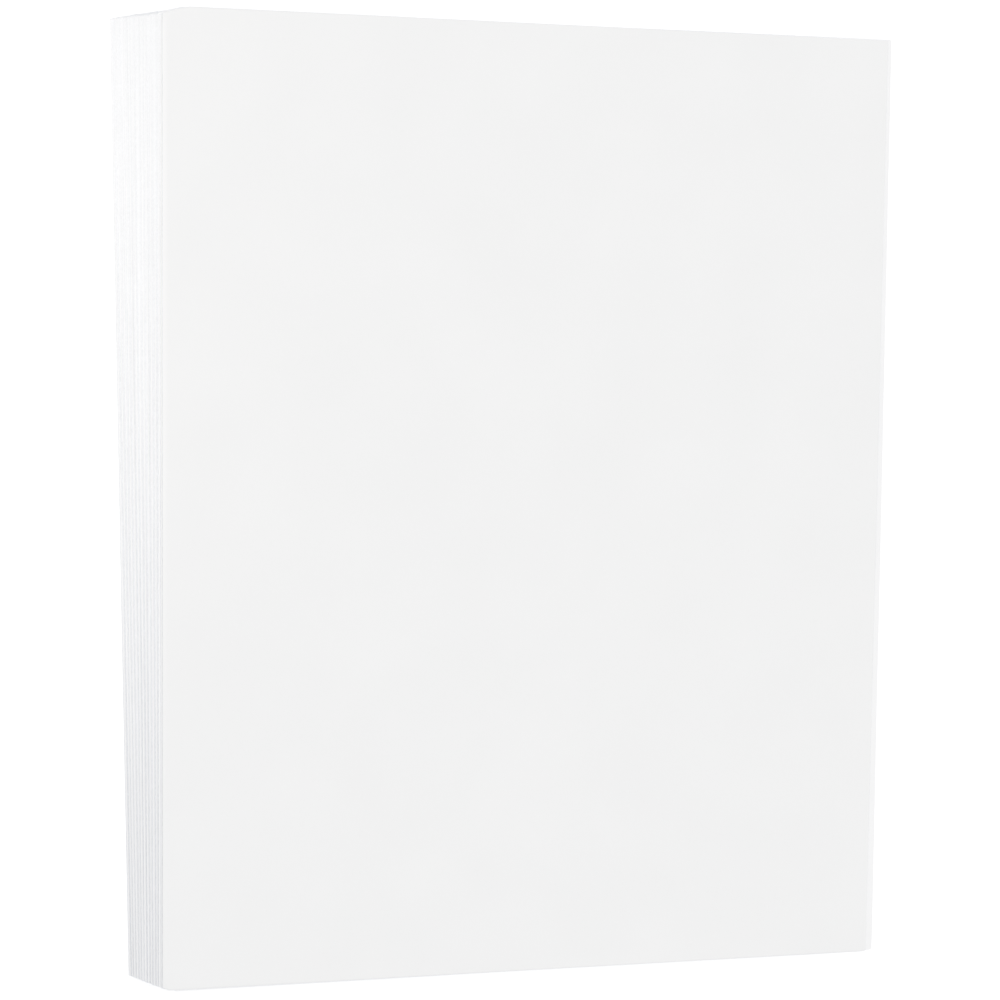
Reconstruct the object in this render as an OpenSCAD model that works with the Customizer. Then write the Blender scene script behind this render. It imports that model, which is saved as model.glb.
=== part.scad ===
// Pack of bristol card stock: loose letter-size sheets that lie flat in one stack.
// The stack has slipped a little, so its long left side slopes and its sheets fan out.
// X runs across the sheets, Y along them and Z up through the stack.
// The origin is the middle of the bottom sheet's underside, and the top sheet is square to the axes.

/* [Sheet] */
// Width of a sheet
sheet_w = 215.9; // [100:0.1:330]
// Length of a sheet
sheet_l = 279.4; // [140:0.1:480]
// Thickness of a sheet
sheet_t = 0.4; // [0.2:0.01:1]

/* [Stack] */
// Number of sheets in the pack
sheet_count = 50; // [6:1:60]
// Sheets that keep together at the near end, as one clump
clump_size = 4; // [1:1:10]
// How tightly they keep together there: evenly spread at 0 and flush at 1
clump_hold = 0.8; // [0:0.05:1]

/* [Slip] */
// Sideways slip of the top sheet over the bottom one
slip_x = 11.4; // [-20:0.1:20]
// Lengthways slip of the top sheet over the bottom one
slip_y = -0.8; // [-10:0.1:10]
// Turn of the bottom sheet under the top one, in degrees
slip_turn = 1.05; // [-4:0.05:4]

/* [Loose sheets] */
// How far the sheet under the top one sticks out on the right
loose_x = 1.6; // [0:0.1:4]
// Turn of that sheet against the top one, in degrees
loose_turn = 0.2; // [-1:0.05:1]
// How far a single sheet strays from its clump
stray = 0.06; // [0:0.01:0.5]
// Turn of a single sheet against its clump, in degrees
stray_turn = 0.02; // [0:0.005:0.1]

/* [Hidden] */

// Repeatable stray of each sheet: across, along and turned, each from -1 to 1
stray_seed = 11;
strays = rands(-1, 1, 3 * sheet_count, stray_seed);

// Names run from the bottom sheet up: sheet_01, sheet_02 and so on.
function sheet_name(i) = str("sheet_", i < 10 ? "0" : "", i);

// Depth of a sheet under the top one, and of the middle of its clump, in sheets
function depth(i) = sheet_count - i;
function clump_depth(i) = floor(depth(i) / clump_size) * clump_size + (clump_size - 1) / 2;

// The slip of the whole stack at its near end (-1) or its far end (1)
function slip_at(end) = slip_x + end * sheet_l / 2 * sin(slip_turn);

// How far a sheet lies to the left of the top one there: in steps at the near end, evenly at the far end
function behind(i, end) =
    let (held = clump_hold * clump_depth(i) + (1 - clump_hold) * depth(i))
    let (level = is_end(i) || end > 0 ? depth(i) : min(held, sheet_count - 1))
    slip_at(end) * level / (sheet_count - 1);

function is_end(i) = i == 1 || i == sheet_count;
function is_loose(i) = i == sheet_count - 1;

// Stray of a sheet in one direction, with none at the ends of the stack
function stray_of(i, direction) = is_end(i) ? 0 : strays[3 * (i - 1) + direction];

// Place of a sheet's middle, and its turn
function sheet_x(i) =
    slip_x + (is_loose(i) ? loose_x : -(behind(i, 1) + behind(i, -1)) / 2) + stray * stray_of(i, 0);
function sheet_y(i) =
    slip_y * (1 - depth(i) / (sheet_count - 1)) + stray * stray_of(i, 1);
function sheet_turn(i) =
    (is_loose(i) ? loose_turn : asin((behind(i, 1) - behind(i, -1)) / sheet_l))
    + stray_turn * stray_of(i, 2);
function sheet_z(i) = (i - 1) * sheet_t;

// One sheet of card, where it lies in the stack
module sheet(i) {
    color("#f2f2f2")
        translate([sheet_x(i), sheet_y(i), sheet_z(i)])
            rotate(sheet_turn(i))
                translate([-sheet_w / 2, -sheet_l / 2, 0])
                    cube([sheet_w, sheet_l, sheet_t]);
}

for (i = [1:sheet_count])
    sheet(i);
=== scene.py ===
"""Looks of a pack of bristol card: loose white sheets lying flat in one slipped stack."""
import math

import bpy
import numpy as np
from mathutils import Matrix, Vector, noise


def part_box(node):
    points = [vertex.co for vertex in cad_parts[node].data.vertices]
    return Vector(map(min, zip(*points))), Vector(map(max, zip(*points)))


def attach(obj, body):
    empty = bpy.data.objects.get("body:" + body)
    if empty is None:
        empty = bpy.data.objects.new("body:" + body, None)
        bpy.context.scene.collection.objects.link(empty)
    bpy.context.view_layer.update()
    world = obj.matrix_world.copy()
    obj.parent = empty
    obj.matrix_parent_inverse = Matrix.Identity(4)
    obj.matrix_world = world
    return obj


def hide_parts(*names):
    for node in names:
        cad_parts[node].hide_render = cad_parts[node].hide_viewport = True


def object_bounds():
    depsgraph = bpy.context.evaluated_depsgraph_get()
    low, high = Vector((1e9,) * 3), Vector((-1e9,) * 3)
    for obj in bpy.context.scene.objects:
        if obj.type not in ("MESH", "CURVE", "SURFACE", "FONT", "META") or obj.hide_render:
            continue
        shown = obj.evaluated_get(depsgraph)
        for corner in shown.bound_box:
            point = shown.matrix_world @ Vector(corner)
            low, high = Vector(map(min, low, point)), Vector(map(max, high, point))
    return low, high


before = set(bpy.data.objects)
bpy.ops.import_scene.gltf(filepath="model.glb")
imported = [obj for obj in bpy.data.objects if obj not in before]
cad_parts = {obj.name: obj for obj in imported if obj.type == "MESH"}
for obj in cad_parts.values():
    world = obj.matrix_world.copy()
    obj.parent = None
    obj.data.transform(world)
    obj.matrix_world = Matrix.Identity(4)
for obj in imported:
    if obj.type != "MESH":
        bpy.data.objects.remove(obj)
cad_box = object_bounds()

MM = 0.001
STACK_TOP = cad_box[1].z

# Camera, in metres: it looks down on the stack, a little from the left
EYE = Vector((-0.1265, 0.0424, 0.5919))
TARGET = Vector((0.0011, 0.0007, 0.0200))
ROLL = math.radians(0.67)
LENS_MM = 72.18
SENSOR_MM = 36
CLIP_START = 0.01
PHOTO_UP = Vector((0, 1, 0))

# Cut edges: their rounding, how far they wander from a straight line and over what length,
# and the step in the noise from one sheet to the next
EDGE_ROUND = 0.08 * MM
ROUND_STEPS = 3
EDGE_WANDER = 0.05 * MM
EDGE_WAVE = 45 * MM
EDGE_STEP = 3.1

# How far each corner of the top sheet is worn off, across and along, from the near left one round,
# and the share of it that is left at the bottom sheet
CORNER_WEAR = ((2.1, 1.0, 0.3), (1.2, 0.4, 0.3), (0.6, 0.4, 0.3), (8.4, 2.35, 0.06))
WEAR_ROUNDNESS = 1.15
# How uneven the wear is from sheet to sheet, and where in the noise it is taken
WEAR_SPREAD = 0.25
WEAR_STEP = 1.7
WEAR_PLACE = (0.3, 0.8)

# Borders of the top sheet: pressed thinner by the blade, and the left one bent down, where nothing holds it
PRESSED_WIDTH = 0.45 * MM
PRESSED_DEPTH = 0.14 * MM
DROOP_WIDTH = 1.3 * MM
DROOP_DEPTH = 0.17 * MM
FADE_POWER = 1.5

# Shallow waves that card takes up from the air: the depth and length of all, and then, for the long
# and the short ones, their share of the depth, how many of them go into that length across and along,
# and their place in the noise
COCKLE_DEPTH = 0.22 * MM
COCKLE_WAVE = 55 * MM
LONG_WAVES = (0.8, 1.0, 0.8, 3.7)
SHORT_WAVES = (0.35, 2.3, 2.1, 9.1)

# Cells of the sheets' meshes and their steps at each border, and the digits of a metre that are kept
# in those steps and in the CAD corners
TOP_CELL = 3 * MM
HIDDEN_CELL = 12 * MM
BORDER_STEPS = 4
STEP_DIGITS = 5
CORNER_DIGITS = 7

# Paper colours, linear. The top face and the inner faces are the same card: the inner faces' lighter white
# is painted light, which makes the margins along the stack's sides brighter than the top face.
TOP_WHITE = (0.896, 0.896, 0.896)
INNER_WHITE_PAINTED_LIGHT = (0.930, 0.930, 0.932)
# The cut edge's white is a little darker than the face, and its cool tint is painted shade: the blue cast of
# the stack's shaded side.
EDGE_WHITE_COOL_SHADE = (0.858, 0.868, 0.893)
FLOOR_WHITE = (0.90, 0.90, 0.90)

# Floor: how much the camera sees it glow near the stack and far off, and where that changes, in metres
FLOOR_HALF = 6.0
NEAR_GLOW = 0.24
FAR_GLOW = 1.0
NEAR_REACH = 0.8
FAR_REACH = 4.0


def set_camera():
    """Places the camera at the photograph's viewing angle."""
    data = bpy.data.cameras.new("camera")
    data.lens = LENS_MM
    data.sensor_width = SENSOR_MM
    data.clip_start = CLIP_START
    camera = bpy.data.objects.new("camera", data)
    back = (EYE - TARGET).normalized()
    right = PHOTO_UP.cross(back).normalized()
    turn = Matrix((right, back.cross(right), back)).transposed().to_4x4()
    camera.matrix_world = Matrix.Translation(EYE) @ turn @ Matrix.Rotation(ROLL, 4, "Z")
    bpy.context.scene.collection.objects.link(camera)
    bpy.context.scene.camera = camera


def add_light(name, place, aim, size, watts, colour):
    """A square soft lamp at place that shines towards aim."""
    data = bpy.data.lights.new(name, "AREA")
    data.shape = "SQUARE"
    data.size = size
    data.energy = watts
    data.color = colour
    lamp = bpy.data.objects.new(name, data)
    lamp.location = place
    lamp.rotation_euler = (Vector(aim) - Vector(place)).to_track_quat("-Z", "Y").to_euler()
    lamp.visible_camera = False
    bpy.context.scene.collection.objects.link(lamp)


def wobble(x, y, place):
    """Smooth repeatable noise from about -1 to 1, where place picks a stretch of it."""
    return noise.noise(Vector((x, y, place)))


def waves(x, y, share, across, along, place):
    """Height of one set of shallow waves at a point, as a share of the whole depth."""
    return share * wobble(x / COCKLE_WAVE * across, y / COCKLE_WAVE * along, place)


def cockle(x, y):
    """Depth of all the shallow waves at a point, from 0 to COCKLE_DEPTH."""
    height = 0.5 + waves(x, y, *LONG_WAVES) + waves(x, y, *SHORT_WAVES)
    return COCKLE_DEPTH * min(1, max(0, height))


def fade(distance, reach):
    """1 at a border, falling smoothly to 0 at reach."""
    return max(0, 1 - distance / reach) ** FADE_POWER


def close_steps(*reaches):
    """Distances from a border, in even steps up to each of the reaches."""
    steps = range(BORDER_STEPS + 1)
    return sorted({round(reach * step / BORDER_STEPS, STEP_DIGITS) for reach in reaches for step in steps})


def stations(length, cell, near, far):
    """Distances along one side: the close steps at its two ends, and even cells between."""
    count = max(2, round((length - near[-1] - far[-1]) / cell))
    between = list(np.linspace(near[-1], length - far[-1], count + 1)[1:-1])
    return near + between + [length - step for step in reversed(far)]


def corners_of(node):
    """The four corners of a sheet seen from above, from its near left one counter-clockwise."""
    points = {(round(v.co.x, CORNER_DIGITS), round(v.co.y, CORNER_DIGITS)) for v in node.data.vertices}
    middle = [sum(p[k] for p in points) / len(points) for k in (0, 1)]
    ring = sorted(points, key=lambda p: math.atan2(p[1] - middle[1], p[0] - middle[0]))
    return [Vector((x, y, 0)) for x, y in ring]


def corner_wear(number, height):
    """The wear of one sheet's corners: most at the top of the stack, and a little uneven."""
    spread = 1 + WEAR_SPREAD * wobble(number * WEAR_STEP, *WEAR_PLACE)
    wear = []
    for across, along, least in CORNER_WEAR:
        share = (least + (1 - least) * height) * spread * MM
        wear.append((across * share, along * share))
    return wear


class Sheet:
    """A card sheet where the CAD sheet lies, with rounded cut edges and slightly blunt corners."""

    def __init__(self, node, number, is_top):
        low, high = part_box(node.name)
        corners = corners_of(node)
        self.low = low.z
        self.high = high.z
        self.number = number
        self.is_top = is_top
        self.corner = corners[0]
        self.width = (corners[1] - corners[0]).length
        self.length = (corners[3] - corners[0]).length
        self.across = (corners[1] - corners[0]).normalized()
        self.along = (corners[3] - corners[0]).normalized()
        self.wear = corner_wear(number, high.z / STACK_TOP)

    def columns(self, cell):
        """Distances of the mesh's columns from the left side."""
        near_left, near_right, far_right, far_left = (across for across, along in self.wear)
        borders = (PRESSED_WIDTH,) if self.is_top else ()
        bend = (DROOP_WIDTH,) if self.is_top else ()
        return stations(self.width, cell, close_steps(near_left, far_left, *borders, *bend),
                        close_steps(near_right, far_right, *borders))

    def rows(self, cell):
        """Distances of the mesh's rows from the near side."""
        near_left, near_right, far_right, far_left = (along for across, along in self.wear)
        borders = (PRESSED_WIDTH,) if self.is_top else ()
        return stations(self.length, cell, close_steps(near_left, near_right, *borders),
                        close_steps(far_right, far_left, *borders))

    def worn(self, x, y):
        """Moves a point near a corner inwards, so that the corner is cut off and slightly rounded."""
        is_left = x < self.width / 2
        is_near = y < self.length / 2
        near_left, near_right, far_right, far_left = self.wear
        if is_near:
            across, along = near_left if is_left else near_right
        else:
            across, along = far_left if is_left else far_right
        a = 1 - min(x, self.width - x) / across
        b = 1 - min(y, self.length - y) / along
        if a <= 0 or b <= 0:
            return x, y
        shrink = max(a, b) / (a**WEAR_ROUNDNESS + b**WEAR_ROUNDNESS) ** (1 / WEAR_ROUNDNESS)
        x += (a - a * shrink) * across * (1 if is_left else -1)
        y += (b - b * shrink) * along * (1 if is_near else -1)
        return x, y

    def border_sink(self, x, y, z):
        """How far the top sheet's borders lie lower than its middle."""
        if not self.is_top:
            return 0
        border = min(self.width - x, y, self.length - y)
        pressed = PRESSED_DEPTH * fade(border, PRESSED_WIDTH) * (z - self.low) / (self.high - self.low)
        return pressed + DROOP_DEPTH * fade(x, DROOP_WIDTH)

    def place(self, x, y, inset, z):
        """Where a point of the flat sheet lies in the stack, inset from its outline."""
        sink = self.border_sink(x, y, z)
        x, y = self.worn(x, y)
        inset += EDGE_WANDER * abs(wobble(x / EDGE_WAVE, y / EDGE_WAVE, self.number * EDGE_STEP))
        x = inset + x * (self.width - 2 * inset) / self.width
        y = inset + y * (self.length - 2 * inset) / self.length
        point = self.corner + self.across * x + self.along * y
        sink += cockle(point.x, point.y) * z / STACK_TOP
        return (point.x, point.y, z - sink)

    def mesh(self, name, cell):
        """The upper side, the rounded edge from the top down, and the underside."""
        xs = self.columns(cell)
        ys = self.rows(cell)
        nx, ny = len(xs), len(ys)
        rim = [(i, 0) for i in range(nx - 1)] + [(nx - 1, j) for j in range(ny - 1)]
        rim += [(i, ny - 1) for i in range(nx - 1, 0, -1)] + [(0, j) for j in range(ny - 1, 0, -1)]
        bends = [math.radians(90 * k / ROUND_STEPS) for k in range(1, ROUND_STEPS + 1)]
        profile = [(EDGE_ROUND * (1 - math.sin(t)), EDGE_ROUND * (1 - math.cos(t))) for t in bends]
        levels = [(inset, self.high - drop) for inset, drop in profile]
        levels += [(inset, self.low + drop) for inset, drop in reversed(profile)]

        points = [self.place(x, y, EDGE_ROUND, self.high) for y in ys for x in xs]
        loops = []
        for inset, z in levels:
            loops.append(len(points))
            points += [self.place(xs[i], ys[j], inset, z) for i, j in rim]
        bottom = len(points)
        points += [self.place(x, y, EDGE_ROUND, self.low) for y in ys for x in xs]

        faces = side_faces(nx, ny, bottom)
        flat_faces = len(faces)
        faces += edge_faces([j * nx + i for i, j in rim], loops, bottom)
        return card_mesh(name, points, faces, flat_faces)


def side_faces(nx, ny, bottom):
    """Faces of the upper side and the underside, cell by cell."""
    faces = []
    for j in range(ny - 1):
        for i in range(nx - 1):
            a = j * nx + i
            b = bottom + a
            faces.append((a, a + 1, a + nx + 1, a + nx))
            faces.append((b, b + nx, b + nx + 1, b + 1))
    return faces


def edge_faces(rim, loops, bottom):
    """Faces of the rounded edge, from the upper side's rim through the loops to the underside's."""
    faces = []
    count = len(rim)
    for k in range(count):
        m = (k + 1) % count
        faces.append((loops[0] + k, loops[0] + m, rim[m], rim[k]))
        for upper, lower in zip(loops, loops[1:]):
            faces.append((lower + k, lower + m, upper + m, upper + k))
        faces.append((bottom + rim[k], bottom + rim[m], loops[-1] + m, loops[-1] + k))
    return faces


def card_mesh(name, points, faces, flat_faces):
    """A mesh whose first faces are its smooth flat sides, and the rest its cut edge."""
    mesh = bpy.data.meshes.new(name)
    mesh.from_pydata(points, [], faces)
    mesh.validate()
    is_edge = np.ones(len(mesh.polygons), np.int32)
    is_edge[:flat_faces] = 0
    mesh.polygons.foreach_set("use_smooth", is_edge == 0)
    mesh.polygons.foreach_set("material_index", is_edge)
    mesh.update()
    return mesh


def add_sheets(top_face, inner_face, edge):
    """One detailed sheet in the place of each CAD sheet."""
    names = sorted(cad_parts)
    for number, name in enumerate(names, start=1):
        is_top = number == len(names)
        shape = Sheet(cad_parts[name], number, is_top)
        mesh = shape.mesh(f"card_{number:02d}", TOP_CELL if is_top else HIDDEN_CELL)
        mesh.materials.append(top_face if is_top else inner_face)
        mesh.materials.append(edge)
        sheet = bpy.data.objects.new(mesh.name, mesh)
        bpy.context.scene.collection.objects.link(sheet)
        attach(sheet, "root")
        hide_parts(name)


class Nodes:
    """Short calls for building a material's node tree."""

    def __init__(self, name):
        self.material = bpy.data.materials.new(name)
        self.material.use_nodes = True
        self.tree = self.material.node_tree
        self.shader = self.tree.nodes["Principled BSDF"]
        self.output = self.tree.nodes["Material Output"]
        self.coords = self.add("ShaderNodeTexCoord").outputs["Object"]

    def add(self, kind, **settings):
        node = self.tree.nodes.new(kind)
        for key, value in settings.items():
            setattr(node, key, value)
        return node

    def link(self, source, target):
        self.tree.links.new(source, target)

    def set_gloss(self, roughness, specular):
        """Sets how matt the surface is."""
        self.shader.inputs["Roughness"].default_value = roughness
        self.shader.inputs["Specular IOR Level"].default_value = specular

    def scaled(self, scale):
        """The object's coordinates, stretched by scale in each direction."""
        node = self.add("ShaderNodeMapping")
        node.inputs["Scale"].default_value = scale
        self.link(self.coords, node.inputs["Vector"])
        return node.outputs["Vector"]

    def noise(self, scale, detail=2.0, stretch=(1, 1, 1)):
        """Noise with scale features in each metre."""
        node = self.add("ShaderNodeTexNoise")
        node.inputs["Scale"].default_value = scale
        node.inputs["Detail"].default_value = detail
        self.link(self.scaled(stretch), node.inputs["Vector"])
        return node.outputs["Fac"]

    def mixed(self, first, second, share):
        """Two values in one, with that share of the second."""
        node = self.add("ShaderNodeMix")
        node.inputs["Factor"].default_value = share
        self.link(first, node.inputs["A"])
        self.link(second, node.inputs["B"])
        return node.outputs["Result"]

    def tones(self, value, low, high, colour, darkest, lightest):
        """Tones of one colour, from its darkest to its lightest share as value goes from low to high."""
        node = self.add("ShaderNodeValToRGB")
        for element, position, share in zip(node.color_ramp.elements, (low, high), (darkest, lightest)):
            element.position = position
            element.color = (*(c * share for c in colour), 1)
        self.link(value, node.inputs["Fac"])
        return node.outputs["Color"]

    def bump(self, height, depth, below=None):
        """A bump of that depth in metres, laid over another one."""
        node = self.add("ShaderNodeBump")
        node.inputs["Distance"].default_value = depth
        self.link(height, node.inputs["Height"])
        if below:
            self.link(below, node.inputs["Normal"])
        return node.outputs["Normal"]


def face_material(name, white):
    """Uncoated white card: faint clouds of fibre, and the fine tooth of vellum bristol."""
    n = Nodes(name)
    clouds = n.noise(scale=38, detail=3)
    tooth = n.bump(n.noise(scale=3200), 0.012 * MM)
    felt = n.bump(n.noise(scale=900), 0.02 * MM, tooth)
    n.link(n.tones(clouds, 0.3, 0.7, white, 0.993, 1.006), n.shader.inputs["Base Color"])
    n.link(felt, n.shader.inputs["Normal"])
    n.set_gloss(roughness=0.82, specular=0.3)
    return n.material


def edge_material():
    """Guillotined edge: cut fibres, a little darker than the face, tinted cool as painted shade for the blue
    cast of the stack's shaded side, and no two sheets alike.
    """
    n = Nodes("cut edge")
    fibres = n.noise(scale=1500, detail=3, stretch=(1, 1, 3))
    sheets = n.noise(scale=1100, detail=1, stretch=(0.008, 0.008, 1))
    ridges = n.bump(n.noise(scale=1500, stretch=(1, 1, 4)), 0.03 * MM)
    tones = n.tones(n.mixed(fibres, sheets, 0.4), 0.36, 0.64, EDGE_WHITE_COOL_SHADE, 0.87, 1.055)
    n.link(tones, n.shader.inputs["Base Color"])
    n.link(ridges, n.shader.inputs["Normal"])
    n.set_gloss(roughness=0.92, specular=0.2)
    return n.material


def floor_material():
    """White for the camera, with the stack's soft shadow kept, and brighter far off where the lamp fades."""
    n = Nodes("floor")
    n.shader.inputs["Base Color"].default_value = (*FLOOR_WHITE, 1)
    n.set_gloss(roughness=0.9, specular=0.1)
    path = n.add("ShaderNodeLightPath")
    seen = n.add("ShaderNodeMath", operation="MAXIMUM")
    n.link(path.outputs["Is Camera Ray"], seen.inputs[0])
    n.link(path.outputs["Is Glossy Ray"], seen.inputs[1])
    distance = n.add("ShaderNodeVectorMath", operation="LENGTH")
    n.link(n.coords, distance.inputs[0])
    glow = n.add("ShaderNodeMapRange")
    glow.inputs["From Min"].default_value = NEAR_REACH
    glow.inputs["From Max"].default_value = FAR_REACH
    glow.inputs["To Min"].default_value = NEAR_GLOW
    glow.inputs["To Max"].default_value = FAR_GLOW
    n.link(distance.outputs["Value"], glow.inputs["Value"])
    strength = n.add("ShaderNodeMath", operation="MULTIPLY")
    n.link(seen.outputs["Value"], strength.inputs[0])
    n.link(glow.outputs["Result"], strength.inputs[1])
    emission = n.add("ShaderNodeEmission")
    n.link(strength.outputs["Value"], emission.inputs["Strength"])
    both = n.add("ShaderNodeAddShader")
    n.link(n.shader.outputs["BSDF"], both.inputs[0])
    n.link(emission.outputs["Emission"], both.inputs[1])
    n.link(both.outputs["Shader"], n.output.inputs["Surface"])
    return n.material


def add_floor():
    """A plain square floor under the stack."""
    half = FLOOR_HALF
    corners = [(-half, -half, 0), (half, -half, 0), (half, half, 0), (-half, half, 0)]
    mesh = bpy.data.meshes.new("floor")
    mesh.from_pydata(corners, [], [(0, 1, 2, 3)])
    mesh.materials.append(floor_material())
    floor = bpy.data.objects.new("floor", mesh)
    bpy.context.scene.collection.objects.link(floor)


def set_world(strength, colour):
    """Soft light from all round, which the camera sees as white."""
    world = bpy.data.worlds.new("studio")
    world.use_nodes = True
    bpy.context.scene.world = world
    tree = world.node_tree
    sky = tree.nodes["Background"]
    sky.inputs["Color"].default_value = (*colour, 1)
    sky.inputs["Strength"].default_value = strength
    white = tree.nodes.new("ShaderNodeBackground")
    white.inputs["Color"].default_value = (1, 1, 1, 1)
    path = tree.nodes.new("ShaderNodeLightPath")
    mix = tree.nodes.new("ShaderNodeMixShader")
    tree.links.new(path.outputs["Is Camera Ray"], mix.inputs["Fac"])
    tree.links.new(sky.outputs["Background"], mix.inputs[1])
    tree.links.new(white.outputs["Background"], mix.inputs[2])
    tree.links.new(mix.outputs["Shader"], tree.nodes["World Output"].inputs["Surface"])


set_camera()
# The inner faces take the lighter white: painted light on the margins along the stack's sides.
add_sheets(face_material("top face", TOP_WHITE), face_material("inner face", INNER_WHITE_PAINTED_LIGHT), edge_material())
add_floor()
set_world(strength=0.68, colour=(0.950, 0.974, 1.0))
add_light("overhead", place=(0.45, 0.60, 4.0), aim=(0, 0, 0), size=4.0, watts=73, colour=(1.0, 0.954, 0.904))
add_light("left", place=(-0.36, 0.050, 0.050), aim=(-0.11, 0.26, 0.01), size=0.07, watts=0.27,
          colour=(1.0, 0.96, 0.89))
bpy.context.scene.view_settings.view_transform = "Standard"
